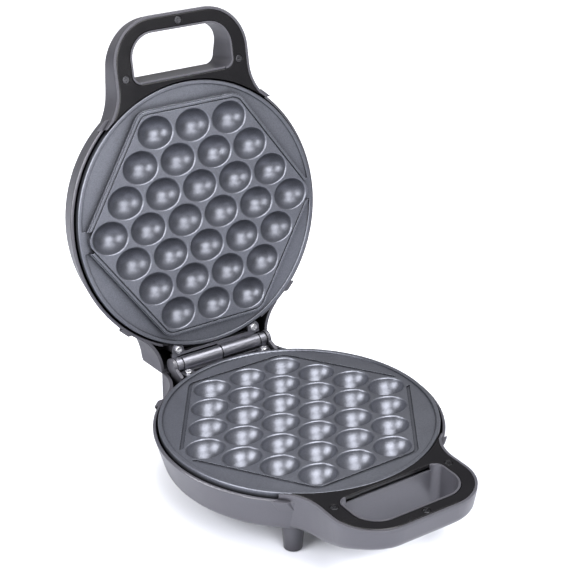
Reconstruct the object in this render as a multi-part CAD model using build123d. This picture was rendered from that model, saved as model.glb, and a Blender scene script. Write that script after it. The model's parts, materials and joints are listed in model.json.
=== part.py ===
from build123d import *
import math
import os

# Bubble waffle maker, standing open on a table. All sizes are in millimetres.
#
# Each half is made in its own half frame: X along the hinge, the handle towards -Y,
# and Z pointing out of the cooking face, with Z = 0 at the top of the plate's rim.
# The lower half is lifted to its place. The upper half is turned over, set above it as
# when closed, and then swung open about the hinge pin.

# Wells of the cooking plates
WELL_PITCH = 32.5
WELL_ROW_GAP = 24.0
WELL_COUNTS = [6, 5, 4, 3]          # wells in the middle row, then in each row outwards
WELL_LENGTH = 29.6
WELL_WIDTH = 25.0
WELL_DEPTH = 12.0
WELL_DRAFT_RISE = 1.5               # height above the land of the well's widest level
WELL_EDGE_RADIUS = 1.0
CUP_WALL = 2.2

# Cooking plates, with heights measured from the rim's top
PLATE_RADIUS = 105.1
PLATE_RIM_WIDTH = 3.2
PLATE_RIM_RADIUS = 0.8
LOWER_LAND = -1.5
LOWER_FLANGE = 5.0
GROOVE_WIDTH = 3.0
GROOVE_DEPTH = 1.2
UPPER_LAND = 4.0
UPPER_POCKET = -1.0
UPPER_FLANGE = 4.0
BEAD_GROOVE_WIDTH = 1.3
BEAD_GROOVE_DEPTH = 1.0
BEAD_WIDTH = 1.5
BEAD_STEP = 1.1                     # drop of the ledge outside the bead
BEAD_LEDGE_WIDTH = 1.0
BED_MARGIN = 0.6                    # land left between the outer wells and the groove
BED_CORNER_RADIUS = 9.0
BED_BRIDGE = 17.0                   # width at the side corners where the groove stops
LAND_GAP = 4.0                      # distance between the two lands when closed

# Fixing bosses of the plates
BOSS_CIRCLE = 88.0
BOSS_RADIUS = 4.5
PLATE_SCREW_RADIUS = 2.0
PLATE_SCREW_LENGTH = 12.0
PLATE_HEAD_RADIUS = 3.8
PLATE_HEAD_HEIGHT = 2.4
PLATE_HEAD_RECESS = 8.5             # depth of the lower screws' recesses in the bottom
SCREW_PASSAGE = 0.3                 # radial room round a screw where it only passes
THREAD_GAP = 0.05                   # radial room where a screw or pin is held
FIT_GAP = 0.15

# Housings
PLATE_GAP = 1.9
SHELL_WALL = 2.5
LIP_DROP = 4.0
LIP_EDGE_RADIUS = 1.1
BODY_DEPTH = 33.0
BODY_DRAFT = 15.5                   # degrees
BODY_EDGE_RADIUS = 6.0
SHOULDER_RISE = 1.6                 # the lip stands out beside the handle and the hood
SHOULDER_DEPTH = 16.0               # depth below the rim at which this runs out
SHOULDER_SINK = 0.3                 # how far its lower end runs into the wall
SHOULDER_LENGTH = 7.0
HANDLE_SHOULDER_Y = 80.0
HOOD_SHOULDER_Y = 75.5

# Handles
LOWER_HANDLE_REACH = 158.5
UPPER_HANDLE_REACH = 158.5
HANDLE_WIDTH = 116.0
HANDLE_TIP_RADIUS = 35.0
HANDLE_NECK_RADIUS = 38.0
HANDLE_DRAFT = 4.5                  # how far the sides lean in down to the bowl's bottom
HANDLE_NECK_START = 110.0           # distance of the neck's start from the plate's middle
HANDLE_DEPTH = 18.0
HANDLE_SLOPE_START = 142.0          # where the underside begins to sink towards the bowl
HANDLE_SLOPE_END = 108.0
HANDLE_SLOPE_BEND = 40.0
HANDLE_ROOT_LIFT = 1.0              # from the bowl's bottom to the handle's, where they meet
HANDLE_EDGE_RADIUS = 7.0
HANDLE_WALL = 2.0
DEEP_NECK_RADIUS = 50.0             # of the necks at the level of the bowl's bottom
NECK_SWEEP = 50.0                   # degrees of the concave arcs beside handle and hood
GRIP_WIDTH = 85.2
GRIP_NEAR = 110.5                   # near and far edges of the finger opening
GRIP_FAR = 146.0
GRIP_NEAR_RADIUS = 6.0
GRIP_FAR_RADIUS = 18.5
GRIP_WALL = 1.4
GRIP_LIP_RISE = 0.4                 # the opening's lip above the cover
LOWER_GRIP_STEP = 4.0               # the opening's wall ends this much lower beside the plate
UPPER_GRIP_STEP = 1.0

# Handle covers and their screws
COVER_RISE = 1.0
COVER_THICKNESS = 2.4
COVER_GAP = 0.2
COVER_PLATE_GAP = 1.2
COVER_EDGE_BEVEL = 0.4
COVER_END_Y = 85.5                  # where the cover's two arms end bluntly beside the plate
COVER_SCREW_RADIUS = 1.5
COVER_SCREW_LENGTH = 12.0
COVER_HEAD_RADIUS = 2.8
COVER_HEAD_HEIGHT = 1.0
COVER_RECESS = 1.3
COVER_BOSS_RADIUS = 4.2
SIDE_SCREW_X = 49.4
SIDE_SCREW_Y = 114.7
TIP_SCREW_Y = 151.8
CROSS_SLOT_WIDTH = 0.9
CROSS_SLOT_DEPTH = 0.7
CROSS_SLOT_SPREAD = 0.65            # share of the head's width
HEAD_ROUNDING = 0.3                 # share of the head's height

# Rear hoods, which cover the hinge
HOOD_HALF_WIDTH = 50.0
HOOD_SPLAY = 4.5                    # extra half width at the hood's back
HOOD_REAR = 120.1
HOOD_LEAN = 7.8                     # how far the rear wall leans in at the back
HOOD_NECK_RADIUS = 36.0
HOOD_NECK_LENGTH = 3.1              # straight part of the side wall at the rear
HOOD_EDGE_RADIUS = 5.0
LOWER_HOOD_LIP = -4.6               # heights of the hoods' lips from the rim
UPPER_HOOD_LIP = -4.0
LIP_NOTCH_WIDTH = 92.0              # where the bowl's lip is lowered for the hinge leaves
LIP_NOTCH_DROP = 8.0

# Legs and feet
FLOOR_DROP = 55.0                   # height of the lower land above the floor
LEG_TOP_RADIUS = 8.8
LEG_TIP_RADIUS = 6.8
LEG_WALL = 2.4
LEG_TIP_LENGTH = 10.0               # solid end of a leg, which holds its pad
PAD_RADIUS = 5.0
PAD_HEIGHT = 2.4
PAD_SHOWN = 1.2
PAD_SPIGOT_RADIUS = 2.0
PAD_SPIGOT_LENGTH = 5.0
FRONT_LEG_X = 53.0
FRONT_LEG_Y = -71.0
REAR_LEG_X = 44.0
REAR_LEG_Y = 100.0

# Hinge
HINGE_Y = 113.6
HINGE_Z = 4.0                       # height of the pin above the lower land
OPEN_ANGLE = 100.2                  # degrees
KNUCKLE_RADIUS = 5.6
KNUCKLE_LENGTH = 35.0
END_KNUCKLE_LENGTH = 5.0
KNUCKLE_GAP = 1.0
PIN_RADIUS = 2.4
PIN_HEAD_RADIUS = 3.6
PIN_HEAD_LENGTH = 0.8
LEAF_THICKNESS = 2.0
LEAF_SIDE_GAP = 0.5                 # between the leaf and the plate's rim
WEB_WIDTH = 2.1
WEB_HEIGHT = 5.0
EAR_X = 35.3
EAR_Y = 103.0
EAR_HALF_WIDTH = 5.2
EAR_BOSS_RADIUS = 4.4
EAR_SCREW_RADIUS = 1.7
EAR_SCREW_LENGTH = 10.0
EAR_HEAD_RADIUS = 2.9
EAR_HEAD_HEIGHT = 1.8
CHEEK_WIDTH = 2.8
CHEEK_GAP = 1.0
CHEEK_RADIUS = 6.4
CHEEK_FRONT = 97.6
CHEEK_FRONT_DROP = 3.5              # from the pin's height to the cheek's front corner

# Heating, under each plate
ELEMENT_RADIUS = 3.2
ELEMENT_GAP = 0.3
ELEMENT_HALF_WIDTH = 64.0
ELEMENT_HALF_DEPTH = 56.0
ELEMENT_SIDE_X = 38.0
ELEMENT_BEND_RADIUS = 12.0
ELEMENT_TAIL_X = 9.0
ELEMENT_TAIL_Y = 80.0
TERMINAL_RADIUS = 1.2
TERMINAL_LENGTH = 8.0
SHIELD_RADIUS = 97.0
SHIELD_THICKNESS = 0.8
SHIELD_RIM = 6.0
POST_RADIUS = 6.0

# Controls
THERMOSTAT_RADIUS = 6.0
THERMOSTAT_HEIGHT = 5.0
THERMOSTAT_NECK_RADIUS = 3.0
THERMOSTAT_NECK_HEIGHT = 2.0
CONTROL_X = 20.0
CONTROL_Y = 93.0
FUSE_RADIUS = 2.0
FUSE_LENGTH = 12.0
FUSE_CLIP_WIDTH = 5.0
FUSE_CLIP_THICKNESS = 0.8
BLOCK_LENGTH = 32.0
BLOCK_WIDTH = 4.2
BLOCK_HEIGHT = 9.0
BLOCK_X = -24.0
BLOCK_Y = 110.3
BLOCK_LIFT = 8.5
BLOCK_SCREW_RADIUS = 1.4
BLOCK_SCREW_DEPTH = 4.0
BLOCK_POLE_PITCH = 10.0
GLAND_RADIUS = 6.0
GLAND_FLANGE_RADIUS = 7.6
GLAND_FLANGE_THICKNESS = 1.6
GLAND_BORE_RADIUS = 3.6
GLAND_X = 30.0
GLAND_DROP = 15.0                   # depth of the cord inlet below the rim
LAMP_RADIUS = 4.0
LAMP_RISE = 1.2
LAMP_ROUNDING = 0.8                 # share of the rise
LAMP_FLANGE_RADIUS = 5.2
LAMP_FLANGE_THICKNESS = 1.2
LAMP_X = 13.0
LAMP_Y = -62.0
CARRIER_LENGTH = 51.0
CARRIER_WIDTH = 12.0
CARRIER_THICKNESS = 1.4
CARRIER_POST_RADIUS = 2.6
NEON_RADIUS = 1.9
NEON_LENGTH = 9.0

# Worked out from the sizes above
WELL_AXIS = WELL_DEPTH + WELL_DRAFT_RISE
WELL_NARROWING = math.sqrt(1.0 - (WELL_DRAFT_RISE / WELL_AXIS) ** 2)
ROW_ANGLE = math.atan2(WELL_ROW_GAP, WELL_PITCH / 2)
LIP_RADIUS = PLATE_RADIUS + PLATE_GAP + SHELL_WALL
FLOOR_INSIDE = SHELL_WALL - BODY_DEPTH
LOWER_RIM_Z = -LOWER_LAND
UPPER_RIM_Z = LAND_GAP + UPPER_LAND
LEAF_HALF_LENGTH = KNUCKLE_GAP / 2 + KNUCKLE_LENGTH + KNUCKLE_GAP + END_KNUCKLE_LENGTH
LOWER_LEAF_BACK = HINGE_Z - KNUCKLE_RADIUS - LOWER_RIM_Z
UPPER_LEAF_BACK = UPPER_RIM_Z - HINGE_Z - KNUCKLE_RADIUS
ELEMENT_DROP = WELL_DEPTH + CUP_WALL + ELEMENT_GAP + ELEMENT_RADIUS
SHIELD_DROP = ELEMENT_DROP + ELEMENT_RADIUS + ELEMENT_GAP
FLOOR_BELOW_RIM = -FLOOR_DROP - LOWER_RIM_Z
COVER_BACK = COVER_RISE - COVER_THICKNESS
BEYOND = 500.0                      # larger than the whole object, for cutting blocks
MERGE = 0.5                         # how deep joined forms run into one another
BOTTOM_UP = (Align.CENTER, Align.CENTER, Align.MIN)


def above(height):
    """A block that takes up everything above a height."""
    return Pos(0, 0, height) * Box(BEYOND, BEYOND, BEYOND, align=BOTTOM_UP)


def rod(radius, low, high):
    """Upright cylinder between two heights."""
    return Pos(0, 0, low) * Cylinder(radius, high - low, align=BOTTOM_UP)


def at_places(form, places):
    return [Pos(x, y, 0) * form for x, y in places]


def well_centres():
    """Places of the wells: rows of one pitch, each row half a pitch aside of the next."""
    centres = []
    for row, count in enumerate(WELL_COUNTS):
        sides = [1] if row == 0 else [1, -1]
        for side in sides:
            for place in range(count):
                x = (place - (count - 1) / 2) * WELL_PITCH
                centres.append((x, side * row * WELL_ROW_GAP))
    return centres


def cup_form(land):
    """Outside of one oval cup, a wall larger than its well."""
    half_x = WELL_LENGTH / 2 / WELL_NARROWING + CUP_WALL
    half_y = WELL_WIDTH / 2 / WELL_NARROWING + CUP_WALL
    return Pos(0, 0, land + WELL_DRAFT_RISE) * scale(Sphere(1), by=(half_x, half_y, WELL_AXIS + CUP_WALL))


def arc_middle(centre_x, centre_y, radius, start, end):
    """The point half way along an arc, from its end angles in radians."""
    turn = (start + end) / 2
    return (centre_x + radius * math.cos(turn), centre_y + radius * math.sin(turn))


def well_form(land):
    """The hollow of one well: a ball with a rounded mouth, turned and then made oval."""
    ball = WELL_LENGTH / 2 / WELL_NARROWING
    deepening = WELL_AXIS / ball
    mouth_level = -WELL_DRAFT_RISE / deepening
    edge_level = mouth_level - WELL_EDGE_RADIUS
    edge_x = math.sqrt((ball + WELL_EDGE_RADIUS) ** 2 - edge_level ** 2)
    join_turn = math.atan2(edge_level, edge_x)
    join = (ball * math.cos(join_turn), ball * math.sin(join_turn))
    edge_middle = arc_middle(edge_x, edge_level, WELL_EDGE_RADIUS, math.pi / 2, math.pi + join_turn)
    ball_middle = arc_middle(0, 0, ball, join_turn, -math.pi / 2)
    profile = make_face([
        Line((0, mouth_level), (edge_x, mouth_level)),
        ThreePointArc((edge_x, mouth_level), edge_middle, join),
        ThreePointArc(join, ball_middle, (0, -ball)),
        Line((0, -ball), (0, mouth_level)),
    ])
    turned = revolve(Plane.XZ * profile, Axis.Z)
    oval = scale(turned, by=(1, WELL_WIDTH / WELL_LENGTH, deepening))
    return Pos(0, 0, land + WELL_DRAFT_RISE) * oval


def bed_form(grow, low, high):
    """The six-sided bed round the wells, its edge moved outwards by grow."""
    flare_x = WELL_LENGTH / 2 + WELL_EDGE_RADIUS
    flare_y = WELL_WIDTH / 2 + WELL_EDGE_RADIUS
    normal_x = math.sin(ROW_ANGLE)
    normal_y = math.cos(ROW_ANGLE)
    side_reach = math.hypot(flare_x * normal_x, flare_y * normal_y) + BED_MARGIN + grow
    half_y = (len(WELL_COUNTS) - 1) * WELL_ROW_GAP + flare_y + BED_MARGIN + grow
    side_x = (WELL_COUNTS[0] - 1) / 2 * WELL_PITCH + side_reach / normal_x
    end_x = side_x - half_y * normal_y / normal_x
    corners = [
        (side_x, 0), (end_x, half_y), (-end_x, half_y),
        (-side_x, 0), (-end_x, -half_y), (end_x, -half_y),
    ]
    outline = fillet(Polygon(*corners).vertices(), BED_CORNER_RADIUS + grow)
    return Pos(0, 0, low) * extrude(outline, high - low)


def bed_band(inner, outer, low, high):
    """A band along the bed's edge that stops at the two side corners."""
    band = bed_form(outer, low, high) - bed_form(inner, low, high)
    return band - Box(BEYOND, BED_BRIDGE, BEYOND)


def boss_places():
    """Fixing points outside the bed, square to its slanted sides."""
    x = BOSS_CIRCLE * math.sin(ROW_ANGLE)
    y = BOSS_CIRCLE * math.cos(ROW_ANGLE)
    return [(side * x, end * y) for side in (1, -1) for end in (1, -1)]


def plate_blank(land, pocket, flange):
    """Round plate with its rim, the cups under it and the bosses, before the wells are sunk."""
    back = pocket - flange
    blank = rod(PLATE_RADIUS, back, 0) - rod(PLATE_RADIUS - PLATE_RIM_WIDTH, pocket, BEYOND)
    blank = fillet(blank.edges().group_by(Axis.Z)[-1], PLATE_RIM_RADIUS)
    if land > pocket:
        blank += bed_form(0, back, land)
        bridge = rod(PLATE_RADIUS - PLATE_RIM_WIDTH / 2, back, 0) & Box(BEYOND, BED_BRIDGE, BEYOND)
        blank += bridge
    cup = cup_form(land) - above(back + MERGE)
    boss = rod(BOSS_RADIUS, land - SHIELD_DROP, back + MERGE)
    boss -= rod(PLATE_SCREW_RADIUS + THREAD_GAP, land - SHIELD_DROP, land - SHIELD_DROP + PLATE_SCREW_LENGTH)
    return blank + at_places(cup, well_centres()) + at_places(boss, boss_places())


def lower_plate():
    """Flat land with a six-sided groove round the wells."""
    plate = plate_blank(LOWER_LAND, LOWER_LAND, LOWER_FLANGE)
    plate -= bed_band(0, GROOVE_WIDTH, LOWER_LAND - GROOVE_DEPTH, LOWER_LAND + MERGE)
    return plate - at_places(well_form(LOWER_LAND), well_centres())


def upper_plate():
    """Raised bed whose sides carry a narrow groove, a bead and a ledge."""
    plate = plate_blank(UPPER_LAND, UPPER_POCKET, UPPER_FLANGE)
    bead_end = BEAD_GROOVE_WIDTH + BEAD_WIDTH
    ledge_end = bead_end + BEAD_LEDGE_WIDTH
    root = UPPER_POCKET - MERGE
    plate += bed_band(0, BEAD_GROOVE_WIDTH, root, UPPER_LAND - BEAD_GROOVE_DEPTH)
    plate += bed_band(BEAD_GROOVE_WIDTH, bead_end, root, UPPER_LAND)
    plate += bed_band(bead_end, ledge_end, root, UPPER_LAND - BEAD_STEP)
    return plate - at_places(well_form(UPPER_LAND), well_centres())


def bowl_form(inset):
    """Round body of a housing, drafted and rounded at its bottom, shrunk by an inset."""
    slope = math.tan(math.radians(BODY_DRAFT))
    bottom = inset - BODY_DEPTH
    top_radius = LIP_RADIUS - inset
    bottom_radius = top_radius - (-LIP_DROP - bottom) * slope
    corners = [(0, bottom), (bottom_radius, bottom), (top_radius, -LIP_DROP), (0, -LIP_DROP)]
    body = revolve(Plane.XZ * Polygon(*corners), Axis.Z)
    return fillet(body.edges().group_by(Axis.Z)[0], BODY_EDGE_RADIUS - inset)


def bowl_air():
    """Everything inside the bowl's wall and straight above its mouth."""
    return bowl_form(SHELL_WALL) + rod(LIP_RADIUS - SHELL_WALL, -LIP_DROP, BEYOND)


def neck_arc(half, neck, start, side, direction):
    """Concave arc that flares from a straight side into the round body."""
    places = []
    for share in (0, 0.5, 1):
        turn = math.radians(NECK_SWEEP) * share
        x = half + neck - neck * math.cos(turn)
        places.append((side * x, start + direction * neck * math.sin(turn)))
    return places


def handle_outline(reach, inset, neck_radius=HANDLE_NECK_RADIUS):
    """Plan of the handle: a round-cornered tip and a neck that flares into the bowl."""
    half = HANDLE_WIDTH / 2 - inset
    tip = inset - reach
    corner = HANDLE_TIP_RADIUS - inset
    neck = neck_radius + inset
    right = neck_arc(half, neck, -HANDLE_NECK_START, 1, 1)
    left = neck_arc(half, neck, -HANDLE_NECK_START, -1, 1)
    bulge = corner * (1 - math.sqrt(0.5))
    return make_face([
        Line(left[2], right[2]),
        ThreePointArc(right[2], right[1], right[0]),
        Line(right[0], (half, tip + corner)),
        ThreePointArc((half, tip + corner), (half - bulge, tip + bulge), (half - corner, tip)),
        Line((half - corner, tip), (corner - half, tip)),
        ThreePointArc((corner - half, tip), (bulge - half, tip + bulge), (-half, tip + corner)),
        Line((-half, tip + corner), left[0]),
        ThreePointArc(left[0], left[1], left[2]),
    ])


def grip_outline(grow):
    """Plan of the finger opening."""
    half = GRIP_WIDTH / 2 + grow
    near = grow - GRIP_NEAR
    far = -GRIP_FAR - grow
    outline = Polygon((half, near), (-half, near), (-half, far), (half, far))
    outline = fillet(outline.vertices().sort_by(Axis.Y)[:2], GRIP_FAR_RADIUS + grow)
    return fillet(outline.vertices().sort_by(Axis.Y)[-2:], GRIP_NEAR_RADIUS + grow)


def low_edges(block):
    """Edges where the underside meets the sides, all but those at the rear end."""
    under = [face for face in block.faces() if face.normal_at().Z < -0.5]
    sides = [face for face in block.faces() if abs(face.normal_at().Z) < 0.5 and face.normal_at().Y < 0.5]
    side_edges = [edge for face in sides for edge in face.edges()]
    return [edge for face in under for edge in face.edges() if any(edge.is_same(one) for one in side_edges)]


def handle_under(inset):
    """Everything below the handle's underside, which sinks from the tip to the bowl's bottom."""
    tip_level = inset - HANDLE_DEPTH
    root_level = inset - BODY_DEPTH + HANDLE_ROOT_LIFT
    bends = [(-HANDLE_SLOPE_START, tip_level), (-HANDLE_SLOPE_END, root_level)]
    side = Polygon((-BEYOND, tip_level), *bends, (0, root_level), (0, -BEYOND), (-BEYOND, -BEYOND), align=None)
    bent = [corner for corner in side.vertices() if (corner.X, corner.Y) in bends]
    side = fillet(bent, HANDLE_SLOPE_BEND)
    return extrude(Plane.YZ * side, BEYOND, both=True)


def handle_form(reach, inset):
    """Handle tray's body: upright beside the cover, leaning in below it, its bottom rounded."""
    outline = handle_outline(reach, inset)
    bend = COVER_BACK - COVER_GAP
    deep = Pos(0, 0, -BODY_DEPTH) * handle_outline(reach, inset + HANDLE_DRAFT, DEEP_NECK_RADIUS)
    block = loft([deep, Pos(0, 0, bend) * outline], ruled=True) - handle_under(inset)
    upright = Pos(0, 0, bend) * extrude(outline, COVER_RISE - COVER_GAP - bend)
    return fillet(low_edges(block), HANDLE_EDGE_RADIUS - inset) + upright


def cover_screw_places():
    return [(SIDE_SCREW_X, -SIDE_SCREW_Y), (-SIDE_SCREW_X, -SIDE_SCREW_Y), (0, -TIP_SCREW_Y)]


def handle_tray(reach, grip_step):
    """Hollow handle with the finger opening's wall and the cover's screw bosses."""
    body = handle_form(reach, 0)
    wall_height = COVER_RISE + GRIP_LIP_RISE
    wall = Pos(0, 0, -BODY_DEPTH) * extrude(grip_outline(GRIP_WALL), BODY_DEPTH + wall_height)
    lowered = Pos(0, GRIP_WALL - GRIP_NEAR, 0) * Box(GRIP_WIDTH - 2 * GRIP_NEAR_RADIUS, 4 * GRIP_WALL, BEYOND)
    wall -= lowered & above(COVER_RISE - grip_step)
    boss = rod(COVER_BOSS_RADIUS, -BODY_DEPTH, COVER_BACK)
    fittings = (wall + at_places(boss, cover_screw_places())) & (body + above(0))
    tray = body - handle_form(reach, HANDLE_WALL) + fittings
    tray -= Pos(0, 0, -BODY_DEPTH) * extrude(grip_outline(0), BEYOND)
    seat = COVER_RISE - COVER_RECESS
    hole = rod(COVER_SCREW_RADIUS + THREAD_GAP, seat - COVER_SCREW_LENGTH - FIT_GAP, seat)
    return tray - at_places(hole, cover_screw_places())


def hood_outline(half_width, rear, neck_radius, inset):
    """Plan of a rear hood at one level."""
    half = half_width - inset
    back = rear - inset
    start = rear - HOOD_NECK_LENGTH
    neck = neck_radius + inset
    right = neck_arc(half, neck, start, 1, -1)
    left = neck_arc(half, neck, start, -1, -1)
    return make_face([
        Line(right[2], left[2]),
        ThreePointArc(left[2], left[1], left[0]),
        Line(left[0], (-half, back)),
        Line((-half, back), (half, back)),
        Line((half, back), right[0]),
        ThreePointArc(right[0], right[1], right[2]),
    ])


def hood_form(lip, inset):
    """Rear hood, narrower at its lip and leaning in at the back, shrunk by an inset."""
    bottom = inset - BODY_DEPTH
    depth_share = (lip - bottom) / (lip + BODY_DEPTH)
    half_at_bottom = HOOD_HALF_WIDTH + HOOD_SPLAY * depth_share
    rear_at_bottom = HOOD_REAR - HOOD_LEAN * depth_share
    low_outline = hood_outline(half_at_bottom, rear_at_bottom, DEEP_NECK_RADIUS, inset)
    lip_outline = hood_outline(HOOD_HALF_WIDTH, HOOD_REAR, HOOD_NECK_RADIUS, inset)
    return loft([Pos(0, 0, bottom) * low_outline, Pos(0, 0, lip) * lip_outline], ruled=True)


def hood_shell(lip):
    """Hood wall of even thickness, rounded along its outer bottom edge, open at its lip."""
    outside = hood_form(lip, 0)
    outer_edges = outside.edges().group_by(Axis.Z)[0].sort_by(Axis.Y)[1:]
    return fillet(outer_edges, HOOD_EDGE_RADIUS) - hood_form(lip, SHELL_WALL)


def within_hood(form, lip):
    """What of a form stands inside the hood's wall or above its lip."""
    return form & (hood_form(lip, SHELL_WALL - MERGE) + above(lip - MERGE))


def shoulder(start, side):
    """Sector where the lip stands out beside the handle or the hood."""
    height = SHOULDER_DEPTH - LIP_DROP
    low_radius = LIP_RADIUS - height * math.tan(math.radians(BODY_DRAFT)) - SHOULDER_SINK
    proud = Cone(low_radius, LIP_RADIUS + SHOULDER_RISE, height, align=BOTTOM_UP)
    proud = Pos(0, 0, -SHOULDER_DEPTH) * proud
    band = Pos(0, side * (start + SHOULDER_LENGTH / 2), 0) * Box(BEYOND, SHOULDER_LENGTH, BEYOND)
    return proud & band


def plate_posts(shield_back):
    """Posts on the floor that carry the heat shield and the plate."""
    post = rod(POST_RADIUS, FLOOR_INSIDE - MERGE, shield_back)
    return at_places(post, boss_places())


def ear_places():
    return [(EAR_X, EAR_Y), (-EAR_X, EAR_Y)]


def ear_bosses(leaf_back):
    """Screw bosses for the hinge leaf, cut back beside the plate."""
    boss = rod(EAR_BOSS_RADIUS, FLOOR_INSIDE - MERGE, leaf_back)
    beside_plate = rod(PLATE_RADIUS + LEAF_SIDE_GAP, -LIP_NOTCH_DROP, BEYOND)
    return [one - beside_plate for one in at_places(boss, ear_places())]


def housing(reach, grip_step, hood_lip, leaf_back, shield_back):
    """Bowl, handle tray and rear hood as one moulding."""
    air = bowl_air()
    bowl = bowl_form(0)
    bowl = fillet(bowl.edges().group_by(Axis.Z)[-1], LIP_EDGE_RADIUS)
    outer = bowl + shoulder(HANDLE_SHOULDER_Y, -1) + shoulder(HOOD_SHOULDER_Y, 1)
    hood = hood_shell(hood_lip)
    tray = handle_tray(reach, grip_step)
    notch = Pos(0, EAR_Y, -LIP_NOTCH_DROP) * Box(
        LIP_NOTCH_WIDTH, HINGE_Y - EAR_Y + EAR_BOSS_RADIUS, BEYOND, align=BOTTOM_UP
    )
    shell = (outer - air) + (tray - air) + (hood - air) - notch
    shell = shell + plate_posts(shield_back) + ear_bosses(leaf_back)
    ear_hole = rod(EAR_SCREW_RADIUS + THREAD_GAP, leaf_back - EAR_SCREW_LENGTH, leaf_back)
    return shell - at_places(ear_hole, ear_places())


def leg_places():
    right = [(FRONT_LEG_X, FRONT_LEG_Y), (REAR_LEG_X, REAR_LEG_Y)]
    return right + [(-x, y) for x, y in right]


def leg():
    """Tapered leg with the seat for its pad."""
    tip = FLOOR_BELOW_RIM + PAD_SHOWN
    outside = Pos(0, 0, tip) * Cone(LEG_TIP_RADIUS, LEG_TOP_RADIUS, FLOOR_INSIDE - tip, align=BOTTOM_UP)
    pad_seat = rod(PAD_RADIUS + THREAD_GAP, tip, tip + PAD_HEIGHT - PAD_SHOWN)
    spigot_hole = rod(PAD_SPIGOT_RADIUS + THREAD_GAP, tip, tip + PAD_HEIGHT + PAD_SPIGOT_LENGTH)
    return outside - pad_seat - spigot_hole


def leg_core():
    """The hollow of a leg, open towards the housing."""
    low = FLOOR_BELOW_RIM + PAD_SHOWN + LEG_TIP_LENGTH
    tip_radius = LEG_TIP_RADIUS - LEG_WALL
    top_radius = LEG_TOP_RADIUS - LEG_WALL
    return Pos(0, 0, low) * Cone(tip_radius, top_radius, FLOOR_INSIDE - low, align=BOTTOM_UP)


def base_legs(shell):
    """Four hollow legs, their tops shaped to the housing's outside."""
    return [one - shell for one in at_places(leg() - leg_core(), leg_places())]


def foot_pads():
    """Rubber pads pressed into the legs' ends."""
    pad = rod(PAD_RADIUS, FLOOR_BELOW_RIM, FLOOR_BELOW_RIM + PAD_HEIGHT)
    pad = fillet(pad.edges().group_by(Axis.Z)[0], PAD_SHOWN / 2)
    spigot_top = FLOOR_BELOW_RIM + PAD_HEIGHT + PAD_SPIGOT_LENGTH
    pad += rod(PAD_SPIGOT_RADIUS, FLOOR_BELOW_RIM + PAD_HEIGHT, spigot_top)
    return at_places(pad, leg_places())


def hinge_cheeks():
    """Upright cheeks in the lower hood, one past each end of the pin."""
    pin_height = HINGE_Z - LOWER_RIM_Z
    front_top = pin_height - CHEEK_FRONT_DROP
    side = Polygon(
        (CHEEK_FRONT, FLOOR_INSIDE - MERGE), (HINGE_Y, FLOOR_INSIDE - MERGE),
        (HINGE_Y, pin_height), (HINGE_Y - CHEEK_RADIUS, pin_height), (CHEEK_FRONT, front_top),
    )
    side += Pos(HINGE_Y, pin_height) * Circle(CHEEK_RADIUS)
    cheek = extrude(Plane.YZ * side, CHEEK_WIDTH)
    inner = LEAF_HALF_LENGTH + CHEEK_GAP
    return [Pos(inner, 0, 0) * cheek, Pos(-inner - CHEEK_WIDTH, 0, 0) * cheek]


def gland_place():
    """The cord inlet's place on the outside of the leaning rear wall, square to it."""
    run = (-GLAND_DROP - LOWER_HOOD_LIP) / (-BODY_DEPTH - LOWER_HOOD_LIP)
    lean = math.degrees(math.atan2(HOOD_LEAN, BODY_DEPTH + LOWER_HOOD_LIP))
    return Pos(GLAND_X, HOOD_REAR - HOOD_LEAN * run, -GLAND_DROP) * Rot(-90 - lean, 0, 0)


def cord_gland():
    """Flanged bush in the rear wall; its bore points along the local Z."""
    inner_end = -SHELL_WALL - GLAND_FLANGE_THICKNESS
    bush = rod(GLAND_RADIUS - THREAD_GAP, inner_end, GLAND_FLANGE_THICKNESS)
    bush += rod(GLAND_FLANGE_RADIUS, 0, GLAND_FLANGE_THICKNESS)
    bush += rod(GLAND_FLANGE_RADIUS - FIT_GAP, inner_end, -SHELL_WALL)
    return gland_place() * (bush - rod(GLAND_BORE_RADIUS, inner_end, GLAND_FLANGE_THICKNESS))


def lower_housing():
    shield_back = LOWER_LAND - SHIELD_DROP - SHIELD_THICKNESS
    shell = housing(LOWER_HANDLE_REACH, LOWER_GRIP_STEP, LOWER_HOOD_LIP, LOWER_LEAF_BACK, shield_back)
    stand = rod(BLOCK_WIDTH / 2 - MERGE, FLOOR_INSIDE - MERGE, FLOOR_INSIDE + BLOCK_LIFT)
    stand_places = [(BLOCK_X + side * BLOCK_LENGTH / 4, BLOCK_Y) for side in (1, -1)]
    shell = shell + [within_hood(one, LOWER_HOOD_LIP) for one in at_places(stand, stand_places)]
    shell = shell + [within_hood(cheek, LOWER_HOOD_LIP) - bowl_air() for cheek in hinge_cheeks()]
    passage = rod(PLATE_SCREW_RADIUS + SCREW_PASSAGE, -BODY_DEPTH, shield_back)
    recess = rod(PLATE_HEAD_RADIUS + SCREW_PASSAGE, -BODY_DEPTH, PLATE_HEAD_RECESS - BODY_DEPTH)
    shell = shell - at_places(passage + recess, boss_places())
    return shell - gland_place() * rod(GLAND_RADIUS, -2 * SHELL_WALL, SHELL_WALL)


def upper_housing():
    shield_back = UPPER_LAND - SHIELD_DROP - SHIELD_THICKNESS
    shell = housing(UPPER_HANDLE_REACH, UPPER_GRIP_STEP, UPPER_HOOD_LIP, UPPER_LEAF_BACK, shield_back)
    socket = rod(PLATE_HEAD_RADIUS + SCREW_PASSAGE, shield_back - PLATE_HEAD_HEIGHT - FIT_GAP, shield_back)
    lamp_hole = rod(LAMP_RADIUS + THREAD_GAP, -BODY_DEPTH, FLOOR_INSIDE)
    carrier_post = rod(CARRIER_POST_RADIUS, FLOOR_INSIDE - MERGE, carrier_back())
    shell = shell - at_places(socket, boss_places()) - at_places(lamp_hole, lamp_places())
    return shell + [Pos(side * carrier_post_x(), LAMP_Y, 0) * carrier_post for side in (1, -1)]


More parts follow.
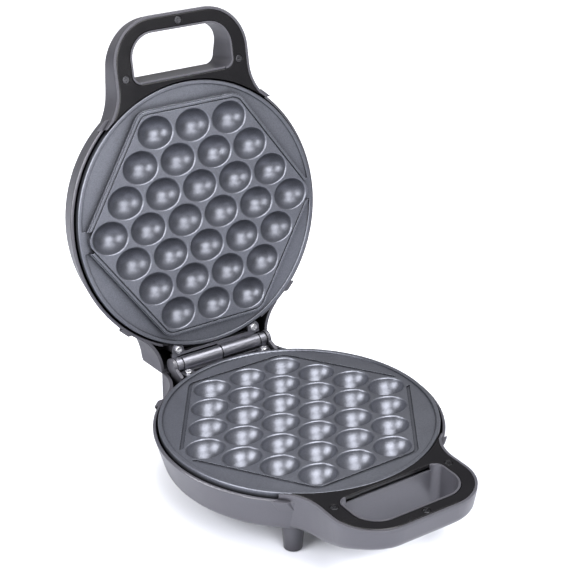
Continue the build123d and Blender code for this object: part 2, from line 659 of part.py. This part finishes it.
def handle_cover(reach):
    """Black cover set into the handle tray and round the plate's rim."""
    cover = extrude(handle_outline(reach, HANDLE_WALL + COVER_GAP), COVER_THICKNESS)
    cover -= extrude(grip_outline(GRIP_WALL + COVER_GAP), COVER_THICKNESS)
    cover = Pos(0, 0, COVER_BACK) * cover
    cover = chamfer(cover.edges().group_by(Axis.Z)[-1], COVER_EDGE_BEVEL)
    cover -= Cylinder(PLATE_RADIUS + COVER_PLATE_GAP, BEYOND)
    past_ends = Box(BEYOND, BEYOND, BEYOND, align=(Align.CENTER, Align.MIN, Align.CENTER))
    cover -= Pos(0, -COVER_END_Y, 0) * past_ends
    recess = rod(COVER_HEAD_RADIUS + SCREW_PASSAGE, COVER_RISE - COVER_RECESS, BEYOND)
    passage = rod(COVER_SCREW_RADIUS + SCREW_PASSAGE, -BEYOND, BEYOND)
    return cover - at_places(recess + passage, cover_screw_places())


def screw(radius, length, head_radius, head_height):
    """Cross-head screw, its head's seat at Z = 0 and its shank below."""
    body = rod(radius, -length, 0) + rod(head_radius, 0, head_height)
    body = fillet(body.edges().group_by(Axis.Z)[-1], head_height * HEAD_ROUNDING)
    slot = Box(2 * head_radius * CROSS_SLOT_SPREAD, CROSS_SLOT_WIDTH, 2 * CROSS_SLOT_DEPTH)
    cross = slot + Rot(0, 0, 90) * slot
    return body - Pos(0, 0, head_height) * cross


def cover_screws():
    one = screw(COVER_SCREW_RADIUS, COVER_SCREW_LENGTH, COVER_HEAD_RADIUS, COVER_HEAD_HEIGHT)
    return at_places(Pos(0, 0, COVER_RISE - COVER_RECESS) * one, cover_screw_places())


def lower_plate_screws():
    """Screws from under the bottom through posts and shield into the plate's bosses."""
    one = screw(PLATE_SCREW_RADIUS, PLATE_SCREW_LENGTH, PLATE_HEAD_RADIUS, PLATE_HEAD_HEIGHT)
    return at_places(Pos(0, 0, PLATE_HEAD_RECESS - BODY_DEPTH) * Rot(180, 0, 0) * one, boss_places())


def upper_plate_screws():
    """Screws that hold the heat shield on the upper plate, their heads in the posts' sockets."""
    one = screw(PLATE_SCREW_RADIUS, PLATE_SCREW_LENGTH - FIT_GAP, PLATE_HEAD_RADIUS, PLATE_HEAD_HEIGHT)
    shield_back = UPPER_LAND - SHIELD_DROP - SHIELD_THICKNESS
    return at_places(Pos(0, 0, shield_back) * Rot(180, 0, 0) * one, boss_places())


def heating_element(land):
    """Tubular element bent round the cups, with its two tails at the rear."""
    left = [
        (-ELEMENT_TAIL_X, ELEMENT_TAIL_Y), (-ELEMENT_TAIL_X, ELEMENT_HALF_DEPTH),
        (-ELEMENT_SIDE_X, ELEMENT_HALF_DEPTH), (-ELEMENT_HALF_WIDTH, 0),
        (-ELEMENT_SIDE_X, -ELEMENT_HALF_DEPTH),
    ]
    right = [(-x, y) for x, y in reversed(left)]
    path = FilletPolyline(*left, *right, radius=ELEMENT_BEND_RADIUS)
    start = Plane(origin=path @ 0, z_dir=path % 0)
    tube = sweep(start * Circle(ELEMENT_RADIUS), path=path)
    pin = Rot(-90, 0, 0) * rod(TERMINAL_RADIUS, -MERGE, TERMINAL_LENGTH)
    tube += [Pos(side * ELEMENT_TAIL_X, ELEMENT_TAIL_Y, 0) * pin for side in (1, -1)]
    return Pos(0, 0, land - ELEMENT_DROP) * tube


def heat_shield(land):
    """Shallow pan behind the element."""
    top = land - SHIELD_DROP
    back = top - SHIELD_THICKNESS
    pan = rod(SHIELD_RADIUS, back, top + SHIELD_RIM) - rod(SHIELD_RADIUS - SHIELD_THICKNESS, top, BEYOND)
    return pan - at_places(rod(PLATE_SCREW_RADIUS + SCREW_PASSAGE, back, top), boss_places())


def thermostat():
    """Disc thermostat that hangs on its stud under the lower plate."""
    seat = LOWER_LAND - LOWER_FLANGE
    neck_end = seat - THERMOSTAT_NECK_HEIGHT
    neck = rod(THERMOSTAT_NECK_RADIUS, neck_end, seat)
    disc = rod(THERMOSTAT_RADIUS, neck_end - THERMOSTAT_HEIGHT, neck_end)
    return Pos(-CONTROL_X, CONTROL_Y, 0) * (neck + disc)


def thermal_fuse():
    """Cartridge fuse held against the lower plate."""
    height = LOWER_LAND - LOWER_FLANGE - FUSE_RADIUS - FIT_GAP
    return Pos(CONTROL_X, CONTROL_Y, height) * Rot(0, 90, 0) * Cylinder(FUSE_RADIUS, FUSE_LENGTH)


def fuse_clip():
    """Bent strap over the fuse."""
    seat = LOWER_LAND - LOWER_FLANGE
    inner_width = 2 * (FUSE_RADIUS + FIT_GAP)
    inner_height = inner_width
    outside = Box(
        FUSE_CLIP_WIDTH, inner_width + 2 * FUSE_CLIP_THICKNESS, inner_height + FUSE_CLIP_THICKNESS,
        align=(Align.CENTER, Align.CENTER, Align.MAX),
    )
    inside = Box(FUSE_CLIP_WIDTH, inner_width, inner_height, align=(Align.CENTER, Align.CENTER, Align.MAX))
    return Pos(CONTROL_X, CONTROL_Y, seat) * (outside - inside)


def terminal_block():
    """Three-way block for the mains leads, on two pads in the lower hood."""
    block = Box(BLOCK_LENGTH, BLOCK_WIDTH, BLOCK_HEIGHT, align=BOTTOM_UP)
    well = rod(BLOCK_SCREW_RADIUS, BLOCK_HEIGHT - BLOCK_SCREW_DEPTH, BLOCK_HEIGHT)
    block -= [Pos(step * BLOCK_POLE_PITCH, 0, 0) * well for step in (-1, 0, 1)]
    return Pos(BLOCK_X, BLOCK_Y, FLOOR_INSIDE + BLOCK_LIFT) * block


def lamp_places():
    return [(LAMP_X, LAMP_Y), (-LAMP_X, LAMP_Y)]


def carrier_back():
    """Height of the lamp carrier's side that faces the lenses."""
    return UPPER_LAND - SHIELD_DROP - SHIELD_THICKNESS - FIT_GAP - CARRIER_THICKNESS


def carrier_post_x():
    return CARRIER_LENGTH / 2 - CARRIER_POST_RADIUS


def lamp_lens(side):
    """Domed lens through the lid's back, with a flange inside."""
    lens = rod(LAMP_RADIUS, -BODY_DEPTH - LAMP_RISE, FLOOR_INSIDE + MERGE)
    lens = fillet(lens.edges().group_by(Axis.Z)[0], LAMP_RISE * LAMP_ROUNDING)
    lens += rod(LAMP_FLANGE_RADIUS, FLOOR_INSIDE, FLOOR_INSIDE + LAMP_FLANGE_THICKNESS)
    return Pos(side * LAMP_X, LAMP_Y, 0) * lens


def lamp_carrier():
    """Insulating strip that holds the lamps behind their lenses."""
    strip = Box(CARRIER_LENGTH, CARRIER_WIDTH, CARRIER_THICKNESS, align=BOTTOM_UP)
    return Pos(0, LAMP_Y, carrier_back()) * strip


def neon_lamps():
    """Two small tube lamps lying on the carrier."""
    tube = Rot(0, 90, 0) * Cylinder(NEON_RADIUS, NEON_LENGTH)
    height = carrier_back() - NEON_RADIUS
    return [Pos(x, y, height) * tube for x, y in lamp_places()]


def hinge_bracket():
    """Long knuckle and end knuckle on one leaf, about the pin's axis, with the leaf below."""
    long_start = KNUCKLE_GAP / 2
    end_start = long_start + KNUCKLE_LENGTH + KNUCKLE_GAP
    spans = [(-long_start - KNUCKLE_LENGTH, KNUCKLE_LENGTH), (end_start, END_KNUCKLE_LENGTH)]
    leaf_back = -KNUCKLE_RADIUS
    leaf_near = PLATE_RADIUS + LEAF_SIDE_GAP - HINGE_Y
    bracket = []
    for start, length in spans:
        strip = Box(length, -leaf_near, LEAF_THICKNESS, align=Align.MIN)
        bracket.append(Pos(start, 0, 0) * Rot(0, 90, 0) * rod(KNUCKLE_RADIUS, 0, length))
        bracket.append(Pos(start, leaf_near, leaf_back) * strip)
    web_length = 2 * (EAR_X - EAR_HALF_WIDTH)
    web = Box(web_length, WEB_WIDTH, WEB_HEIGHT, align=(Align.CENTER, Align.MIN, Align.MAX))
    bracket.append(Pos(0, leaf_near, leaf_back + LEAF_THICKNESS) * web)
    ear_round = EAR_Y - HINGE_Y
    ear_reach = leaf_near + WEB_WIDTH - ear_round
    ear = Box(2 * EAR_HALF_WIDTH, ear_reach, LEAF_THICKNESS, align=(Align.CENTER, Align.MIN, Align.MIN))
    ear += Cylinder(EAR_HALF_WIDTH, LEAF_THICKNESS, align=BOTTOM_UP)
    ear_spots = [Pos(side * EAR_X, ear_round, leaf_back) for side in (1, -1)]
    body = bracket[0] + bracket[1:] + [spot * ear for spot in ear_spots]
    body -= Pos(0, -HINGE_Y, 0) * rod(PLATE_RADIUS + LEAF_SIDE_GAP, -BEYOND, BEYOND)
    body -= Rot(0, 90, 0) * Cylinder(PIN_RADIUS + THREAD_GAP, BEYOND)
    ear_hole = rod(EAR_SCREW_RADIUS + SCREW_PASSAGE, 0, LEAF_THICKNESS)
    return body - [spot * ear_hole for spot in ear_spots]


def hinge_screws():
    """Leaf screws, about the pin's axis, for the leaf below it."""
    one = screw(EAR_SCREW_RADIUS, EAR_SCREW_LENGTH, EAR_HEAD_RADIUS, EAR_HEAD_HEIGHT)
    height = LEAF_THICKNESS - KNUCKLE_RADIUS
    return [Pos(side * EAR_X, EAR_Y - HINGE_Y, height) * one for side in (1, -1)]


def hinge_pin():
    """Pin with a head at each end, about its own axis."""
    pin = Cylinder(PIN_RADIUS, 2 * (LEAF_HALF_LENGTH + THREAD_GAP))
    head = rod(PIN_HEAD_RADIUS, 0, PIN_HEAD_LENGTH)
    top = Pos(0, 0, LEAF_HALF_LENGTH + THREAD_GAP) * head
    return Rot(0, 90, 0) * (pin + top + Rot(180, 0, 0) * top)


def to_lower(form):
    """From the half frame to the lower half's place above the lower land."""
    return Pos(0, 0, LOWER_RIM_Z) * form


def swing_open(form):
    """Turns a closed lid's piece open about the pin."""
    pin = Pos(0, HINGE_Y, HINGE_Z)
    return pin * Rot(-OPEN_ANGLE, 0, 0) * pin.inverse() * form


def to_upper(form):
    """From the half frame, turned over, to the open lid's place."""
    return swing_open(Pos(0, 0, UPPER_RIM_Z) * mirror(form, Plane.XY))


def at_pin(form):
    return Pos(0, HINGE_Y, HINGE_Z) * form


def listed(pieces):
    return pieces if isinstance(pieces, list) else [pieces]


def all_pieces():
    """Every node's solids, by name, about the middle of the lower land."""
    half_turn = Rot(0, 180, 0)
    base_shell = lower_housing()
    lower = {
        "base_housing": base_shell,
        "base_legs": base_legs(base_shell),
        "foot_pads": foot_pads(),
        "base_handle_cover": handle_cover(LOWER_HANDLE_REACH),
        "base_cover_screws": cover_screws(),
        "lower_plate": lower_plate(),
        "lower_heating_element": heating_element(LOWER_LAND),
        "lower_heat_shield": heat_shield(LOWER_LAND),
        "lower_plate_screws": lower_plate_screws(),
        "thermostat": thermostat(),
        "thermal_fuse": thermal_fuse(),
        "fuse_clip": fuse_clip(),
        "terminal_block": terminal_block(),
        "cord_gland": cord_gland(),
    }
    upper = {
        "lid_housing": upper_housing(),
        "lid_handle_cover": handle_cover(UPPER_HANDLE_REACH),
        "lid_cover_screws": cover_screws(),
        "upper_plate": upper_plate(),
        "upper_heating_element": heating_element(UPPER_LAND),
        "upper_heat_shield": heat_shield(UPPER_LAND),
        "upper_plate_screws": upper_plate_screws(),
        "power_lamp_lens": lamp_lens(1),
        "ready_lamp_lens": lamp_lens(-1),
        "lamp_carrier": lamp_carrier(),
        "neon_lamps": neon_lamps(),
    }
    hinge = {
        "base_hinge_bracket": at_pin(hinge_bracket()),
        "base_hinge_screws": [at_pin(one) for one in hinge_screws()],
        "hinge_pin": at_pin(hinge_pin()),
        "lid_hinge_bracket": swing_open(at_pin(half_turn * hinge_bracket())),
        "lid_hinge_screws": [swing_open(at_pin(half_turn * one)) for one in hinge_screws()],
    }
    pieces = {name: [to_lower(form) for form in listed(forms)] for name, forms in lower.items()}
    pieces.update({name: [to_upper(form) for form in listed(forms)] for name, forms in upper.items()})
    pieces.update({name: listed(forms) for name, forms in hinge.items()})
    return pieces


def export_all():
    """Writes each node about the origin, on the floor under the middle of the object's box."""
    pieces = all_pieces()
    front = pieces["base_housing"][0].bounding_box().min.Y
    rear = pieces["lid_housing"][0].bounding_box().max.Y
    middle = (front + rear) / 2
    print("middle of the box behind the plate's middle", round(middle, 4))
    os.makedirs("parts", exist_ok=True)
    for name, forms in pieces.items():
        solids = [solid for form in forms for solid in form.solids()]
        placed = [Pos(0, -middle, FLOOR_DROP) * solid for solid in solids]
        node = placed[0] if len(placed) == 1 else Compound(children=placed)
        node.label = name
        export_step(node, os.path.join("parts", name + ".step"))


export_all()
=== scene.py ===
import json
import math

import bpy
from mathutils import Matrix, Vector

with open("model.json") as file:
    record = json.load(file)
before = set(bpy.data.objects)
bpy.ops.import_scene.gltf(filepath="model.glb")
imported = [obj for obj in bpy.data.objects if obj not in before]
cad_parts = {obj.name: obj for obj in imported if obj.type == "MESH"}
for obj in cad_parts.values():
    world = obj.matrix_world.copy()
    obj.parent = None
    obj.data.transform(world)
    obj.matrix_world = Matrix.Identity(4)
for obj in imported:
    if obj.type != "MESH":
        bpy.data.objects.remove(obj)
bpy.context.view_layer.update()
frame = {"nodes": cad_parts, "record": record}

# The photograph's camera, in metres and degrees
CAMERA_PLACE = (-0.520861, -0.7815, 0.608356)
CAMERA_AZIMUTH = -33.76
CAMERA_ELEVATION = 25.82
CAMERA_FOCAL_PIXELS = 1439.094
PHOTO_WIDTH = 580
SENSOR_WIDTH = 36.0

# Where the softboxes stand, as directions from the object, and how large and strong they are
LIGHT_TARGET = (0.0, 0.04, 0.12)
LIGHT_DISTANCE = 1.0
SOFTBOXES = {
    "left_softbox": {"towards": (-0.89, -0.17, 0.43), "size": 0.70, "watts": 19.0},
    "front_softbox": {"towards": (-0.06, -0.85, 0.52), "size": 0.70, "watts": 18.0},
    "top_softbox": {"towards": (0.17, -0.19, 0.97), "size": 0.80, "watts": 21.0},
}
WORLD_LOW = 0.40                 # strength of the surround near the horizon
WORLD_HIGH = 0.14                # and overhead
WORLD_FADE = (0.0, 0.45)         # between these heights of the direction, of 1
FLOOR_SIZE = 12.0
FLOOR_TINT = (0.52, 0.53, 0.58)
FLOOR_ROUGHNESS = 0.9
FLOOR_GLOW = 0.9                 # reached at the far end of the fade
FLOOR_MIDDLE = (0.03, -0.06, 0.0)
FLOOR_FADE = (0.10, 0.25)        # distances from there over which the floor turns white

# Sizes that the finishes share, in metres
EDGE_SOFTNESS = 0.0005           # rounding of edges in their look
HOLLOW_SHADE_REACH = 0.035             # how near a wall has to be to paint shade on a point of a housing
WELL_SHADE_REACH = 0.014               # and of a plate
FINE_RELIEF = 0.00001            # height of moulded and rolled grain
COATING_RELIEF = 0.00006
RUBBER_RELIEF = 0.00003

BEVEL_SAMPLES = 4
PLAIN_SPECULAR = 0.5
# sheen left where the painted shade in hollows is deepest
PAINTED_SHADE_SPECULAR = 0.05
EDGE_HIGHLIGHT_TURN = (0.80, 0.99)         # likeness of the two normals over which the painted edge highlight fades, from a sharp to a gentle edge


def socket(node, name, value):
    """Sets a constant on a node's own input."""
    node.inputs[name].default_value = value


class Finish:
    """A node material with short calls for the patterns that the surfaces share."""

    def __init__(self, name, color, roughness, metallic=0.0, specular=PLAIN_SPECULAR):
        self.material = bpy.data.materials.new(name)
        self.material.use_nodes = True
        self.nodes = self.material.node_tree.nodes
        self.links = self.material.node_tree.links
        self.shader = self.nodes["Principled BSDF"]
        self.color = color
        socket(self.shader, "Base Color", (*color, 1.0))
        socket(self.shader, "Roughness", roughness)
        socket(self.shader, "Metallic", metallic)
        socket(self.shader, "Specular IOR Level", specular)
        self.place = self.nodes.new("ShaderNodeTexCoord").outputs["Object"]

    def noise(self, size, detail=2.0, stretch=(1.0, 1.0, 1.0)):
        """Noise whose blotches are about one size, in metres, in object space."""
        mapping = self.nodes.new("ShaderNodeMapping")
        mapping.inputs["Scale"].default_value = stretch
        self.links.new(self.place, mapping.inputs["Vector"])
        noise = self.nodes.new("ShaderNodeTexNoise")
        socket(noise, "Scale", 1.0 / size)
        socket(noise, "Detail", detail)
        self.links.new(mapping.outputs["Vector"], noise.inputs["Vector"])
        return noise.outputs["Fac"]

    def cells(self, size):
        """Small irregular cells, used for flakes and speckle; gives one random value to each."""
        voronoi = self.nodes.new("ShaderNodeTexVoronoi")
        socket(voronoi, "Scale", 1.0 / size)
        self.links.new(self.place, voronoi.inputs["Vector"])
        grey = self.nodes.new("ShaderNodeSeparateColor")
        self.links.new(voronoi.outputs["Color"], grey.inputs["Color"])
        return grey.outputs["Red"]

    def spread(self, value, low, high, start=0.3, end=0.7):
        """Maps a pattern's middle range to new limits."""
        ramp = self.nodes.new("ShaderNodeMapRange")
        socket(ramp, "From Min", start)
        socket(ramp, "From Max", end)
        socket(ramp, "To Min", low)
        socket(ramp, "To Max", high)
        self.links.new(value, ramp.inputs["Value"])
        return ramp.outputs["Result"]

    def tint(self, level):
        """Multiplies the colour so far by a grey level."""
        tint = self.nodes.new("ShaderNodeMix")
        tint.data_type = "RGBA"
        tint.blend_type = "MULTIPLY"
        socket(tint, "Factor", 1.0)
        tint.inputs["A"].default_value = (*self.color, 1.0)
        base = self.shader.inputs["Base Color"]
        if base.is_linked:
            self.links.new(base.links[0].from_socket, tint.inputs["A"])
        grey = self.nodes.new("ShaderNodeCombineColor")
        for channel in ("Red", "Green", "Blue"):
            self.links.new(level, grey.inputs[channel])
        self.links.new(grey.outputs["Color"], tint.inputs["B"])
        self.links.new(tint.outputs["Result"], base)

    def shade(self, value, low, high):
        """Lightens and darkens the colour by a pattern."""
        self.tint(self.spread(value, low, high))

    def rough(self, value, low, high):
        """Varies the roughness by a pattern."""
        self.links.new(self.spread(value, low, high), self.shader.inputs["Roughness"])

    def paint_shade_in_hollows(self, reach, least, closed=0.15, free=0.75):
        """Paints shade into the colour and the sheen where walls close in round a point."""
        shelter = self.nodes.new("ShaderNodeAmbientOcclusion")
        socket(shelter, "Distance", reach)
        openness = shelter.outputs["AO"]
        self.tint(self.spread(openness, least, 1.0, start=closed, end=free))
        sheen = self.spread(openness, PAINTED_SHADE_SPECULAR, PLAIN_SPECULAR, start=closed, end=free)
        self.links.new(sheen, self.shader.inputs["Specular IOR Level"])

    def rounded(self, reach):
        """The surface's direction as if its edges were rounded."""
        bevel = self.nodes.new("ShaderNodeBevel")
        bevel.samples = BEVEL_SAMPLES
        socket(bevel, "Radius", reach)
        return bevel.outputs["Normal"]

    def paint_edge_highlights(self, reach, gain):
        """Lightens the colour where the surface turns sharply, a painted highlight along edges."""
        surface = self.nodes.new("ShaderNodeNewGeometry")
        likeness = self.nodes.new("ShaderNodeVectorMath")
        likeness.operation = "DOT_PRODUCT"
        self.links.new(self.rounded(reach), likeness.inputs[0])
        self.links.new(surface.outputs["Normal"], likeness.inputs[1])
        sharp, gentle = EDGE_HIGHLIGHT_TURN
        self.tint(self.spread(likeness.outputs["Value"], gain, 1.0, start=sharp, end=gentle))

    def bump(self, value, height, edge=0.0):
        """Raises the surface by a pattern and softens edges, both in metres."""
        bump = self.nodes.new("ShaderNodeBump")
        if edge > 0.0:
            self.links.new(self.rounded(edge), bump.inputs["Normal"])
        socket(bump, "Distance", height)
        self.links.new(value, bump.inputs["Height"])
        self.links.new(bump.outputs["Normal"], self.shader.inputs["Normal"])


def housing_finish():
    """Metallic grey moulding with fine flakes."""
    finish = Finish("housing_grey", (0.055, 0.054, 0.064), 0.36, metallic=0.3)
    finish.shade(finish.cells(0.0003), 0.94, 1.06)
    # painted shade in the housing's hollows, hood and gaps
    finish.paint_shade_in_hollows(HOLLOW_SHADE_REACH, least=0.10)
    finish.rough(finish.noise(0.03), 0.33, 0.40)
    finish.bump(finish.noise(0.0009), FINE_RELIEF, edge=EDGE_SOFTNESS)
    socket(finish.shader, "Coat Weight", 0.12)
    socket(finish.shader, "Coat Roughness", 0.2)
    return finish.material


def cover_finish():
    """Black satin moulding with a fine grain."""
    finish = Finish("cover_black", (0.005, 0.0048, 0.0056), 0.24, specular=0.25)
    finish.rough(finish.noise(0.02), 0.21, 0.28)
    finish.bump(finish.noise(0.0006, detail=3.0), FINE_RELIEF, edge=EDGE_SOFTNESS)
    return finish.material


def plate_finish():
    """Dark non-stick coating with a fine metallic speckle."""
    finish = Finish("nonstick_grey", (0.120, 0.125, 0.147), 0.38, metallic=0.8)
    finish.shade(finish.cells(0.0006), 0.92, 1.08)
    # painted shade inside the wells and grooves of the plate
    finish.paint_shade_in_hollows(WELL_SHADE_REACH, least=0.25, closed=0.4, free=0.95)
    # painted highlight along the plate's edges and beads
    finish.paint_edge_highlights(EDGE_SOFTNESS / 2, 2.6)
    finish.rough(finish.noise(0.025), 0.36, 0.42)
    finish.bump(finish.noise(0.0012, detail=3.0), COATING_RELIEF, edge=EDGE_SOFTNESS / 2)
    return finish.material


def metal_finish(name, color, roughness, grain=0.0008):
    """Rolled metal whose grain runs along X."""
    finish = Finish(name, color, roughness, metallic=1.0)
    streaks = finish.noise(grain, detail=4.0, stretch=(0.08, 1.0, 1.0))
    finish.shade(streaks, 0.85, 1.12)
    finish.rough(streaks, roughness - 0.06, roughness + 0.08)
    finish.bump(streaks, FINE_RELIEF, edge=EDGE_SOFTNESS / 2)
    return finish.material


def rubber_finish():
    """Dull black rubber."""
    finish = Finish("foot_rubber", (0.03, 0.03, 0.032), 0.75)
    finish.rough(finish.noise(0.004), 0.68, 0.85)
    finish.bump(finish.noise(0.0005), RUBBER_RELIEF)
    return finish.material


def insulator_finish():
    """Off-white ceramic or hard plastic."""
    finish = Finish("insulator_white", (0.72, 0.70, 0.64), 0.55)
    finish.shade(finish.noise(0.01), 0.94, 1.04)
    finish.bump(finish.noise(0.0006), FINE_RELIEF)
    return finish.material


def lens_finish(name, color):
    """Clear coloured plastic."""
    finish = Finish(name, color, 0.08)
    finish.rough(finish.noise(0.004), 0.06, 0.12)
    socket(finish.shader, "Transmission Weight", 0.6)
    socket(finish.shader, "IOR", 1.49)
    return finish.material


def glass_finish():
    """Thin clear glass of the small lamps."""
    finish = Finish("lamp_glass", (0.95, 0.9, 0.85), 0.05)
    finish.rough(finish.noise(0.003), 0.03, 0.08)
    socket(finish.shader, "Transmission Weight", 0.9)
    return finish.material


def dress(finishes):
    """Gives every CAD node the finish of its material slot."""
    for entry in frame["record"]["subparts"]:
        mesh = frame["nodes"][entry["node"]].data
        mesh.materials.clear()
        mesh.materials.append(finishes[entry["material_slot"]])


def camera():
    """Camera at the photograph's place and angle."""
    azimuth = math.radians(CAMERA_AZIMUTH)
    elevation = math.radians(CAMERA_ELEVATION)
    look = Vector((
        -math.sin(azimuth) * math.cos(elevation),
        math.cos(azimuth) * math.cos(elevation),
        -math.sin(elevation),
    ))
    data = bpy.data.cameras.new("photo_camera")
    data.sensor_width = SENSOR_WIDTH
    data.lens = CAMERA_FOCAL_PIXELS / PHOTO_WIDTH * SENSOR_WIDTH
    eye = bpy.data.objects.new("photo_camera", data)
    eye.location = CAMERA_PLACE
    eye.rotation_euler = look.to_track_quat("-Z", "Y").to_euler()
    bpy.context.collection.objects.link(eye)
    bpy.context.scene.camera = eye


def softboxes():
    """Square area lights turned to the object."""
    target = Vector(LIGHT_TARGET)
    for name, facts in SOFTBOXES.items():
        data = bpy.data.lights.new(name, "AREA")
        data.size = facts["size"]
        data.energy = facts["watts"]
        lamp = bpy.data.objects.new(name, data)
        towards = Vector(facts["towards"]).normalized()
        lamp.location = target + towards * LIGHT_DISTANCE
        lamp.rotation_euler = (-towards).to_track_quat("-Z", "Y").to_euler()
        bpy.context.collection.objects.link(lamp)


def surround_strength(nodes, links):
    """Strength of the surround's light, which falls from the horizon upwards."""
    direction = nodes.new("ShaderNodeTexCoord")
    parts = nodes.new("ShaderNodeSeparateXYZ")
    links.new(direction.outputs["Generated"], parts.inputs["Vector"])
    fade = nodes.new("ShaderNodeMapRange")
    socket(fade, "From Min", WORLD_FADE[0])
    socket(fade, "From Max", WORLD_FADE[1])
    socket(fade, "To Min", WORLD_LOW)
    socket(fade, "To Max", WORLD_HIGH)
    links.new(parts.outputs["Z"], fade.inputs["Value"])
    return fade.outputs["Result"]


def studio_world():
    """Pale surround; pure white where the camera sees it."""
    world = bpy.data.worlds.new("studio_world")
    bpy.context.scene.world = world
    world.use_nodes = True
    nodes = world.node_tree.nodes
    links = world.node_tree.links
    soft = nodes["Background"]
    socket(soft, "Color", (1.0, 1.0, 1.0, 1.0))
    links.new(surround_strength(nodes, links), soft.inputs["Strength"])
    seen = nodes.new("ShaderNodeBackground")
    socket(seen, "Color", (1.0, 1.0, 1.0, 1.0))
    socket(seen, "Strength", 1.0)
    path = nodes.new("ShaderNodeLightPath")
    choice = nodes.new("ShaderNodeMixShader")
    links.new(path.outputs["Is Camera Ray"], choice.inputs["Fac"])
    links.new(soft.outputs["Background"], choice.inputs[1])
    links.new(seen.outputs["Background"], choice.inputs[2])
    links.new(choice.outputs["Shader"], nodes["World Output"].inputs["Surface"])


def floor_glow(nodes, links):
    """White light that only the camera sees, from nothing under the object to full away from it."""
    place = nodes.new("ShaderNodeTexCoord")
    distance = nodes.new("ShaderNodeVectorMath")
    distance.operation = "DISTANCE"
    distance.inputs[1].default_value = FLOOR_MIDDLE
    links.new(place.outputs["Object"], distance.inputs[0])
    fade = nodes.new("ShaderNodeMapRange")
    fade.interpolation_type = "SMOOTHSTEP"
    socket(fade, "From Min", FLOOR_FADE[0])
    socket(fade, "From Max", FLOOR_FADE[1])
    socket(fade, "To Min", 0.0)
    socket(fade, "To Max", FLOOR_GLOW)
    links.new(distance.outputs["Value"], fade.inputs["Value"])
    path = nodes.new("ShaderNodeLightPath")
    seen = nodes.new("ShaderNodeMath")
    seen.operation = "MULTIPLY"
    links.new(fade.outputs["Result"], seen.inputs[0])
    links.new(path.outputs["Is Camera Ray"], seen.inputs[1])
    glow = nodes.new("ShaderNodeEmission")
    links.new(seen.outputs["Value"], glow.inputs["Strength"])
    return glow.outputs["Emission"]


def floor_material():
    """Matt pale floor that turns white away from the object."""
    material = bpy.data.materials.new("floor_white")
    material.use_nodes = True
    nodes = material.node_tree.nodes
    links = material.node_tree.links
    shader = nodes["Principled BSDF"]
    socket(shader, "Base Color", (*FLOOR_TINT, 1.0))
    socket(shader, "Roughness", FLOOR_ROUGHNESS)
    both = nodes.new("ShaderNodeAddShader")
    links.new(shader.outputs["BSDF"], both.inputs[0])
    links.new(floor_glow(nodes, links), both.inputs[1])
    links.new(both.outputs["Shader"], nodes["Material Output"].inputs["Surface"])
    return material


def studio_floor():
    """Large floor that keeps the object's shadow."""
    bpy.ops.mesh.primitive_plane_add(size=FLOOR_SIZE, location=(0.0, 0.0, 0.0))
    floor = bpy.context.object
    floor.name = "studio_floor"
    floor.data.materials.append(floor_material())


FINISHES = {
    "housing_plastic": housing_finish(),
    "cover_plastic": cover_finish(),
    "black_screw": metal_finish("black_screw", (0.10, 0.10, 0.11), 0.28),
    "foot_rubber": rubber_finish(),
    "nonstick_plate": plate_finish(),
    "element_sheath": metal_finish("element_sheath", (0.2, 0.19, 0.18), 0.45),
    "shield_metal": metal_finish("shield_metal", (0.72, 0.72, 0.73), 0.3),
    "steel": metal_finish("zinc_steel", (0.55, 0.55, 0.57), 0.3),
    "hinge_metal": metal_finish("hinge_metal", (0.15, 0.15, 0.17), 0.36),
    "insulator": insulator_finish(),
    "gland_plastic": rubber_finish(),
    "red_lens": lens_finish("red_lens", (0.7, 0.03, 0.02)),
    "green_lens": lens_finish("green_lens", (0.03, 0.5, 0.08)),
    "lamp_glass": glass_finish(),
}

dress(FINISHES)
camera()
softboxes()
studio_world()
studio_floor()
bpy.context.scene.view_settings.view_transform = "Standard"
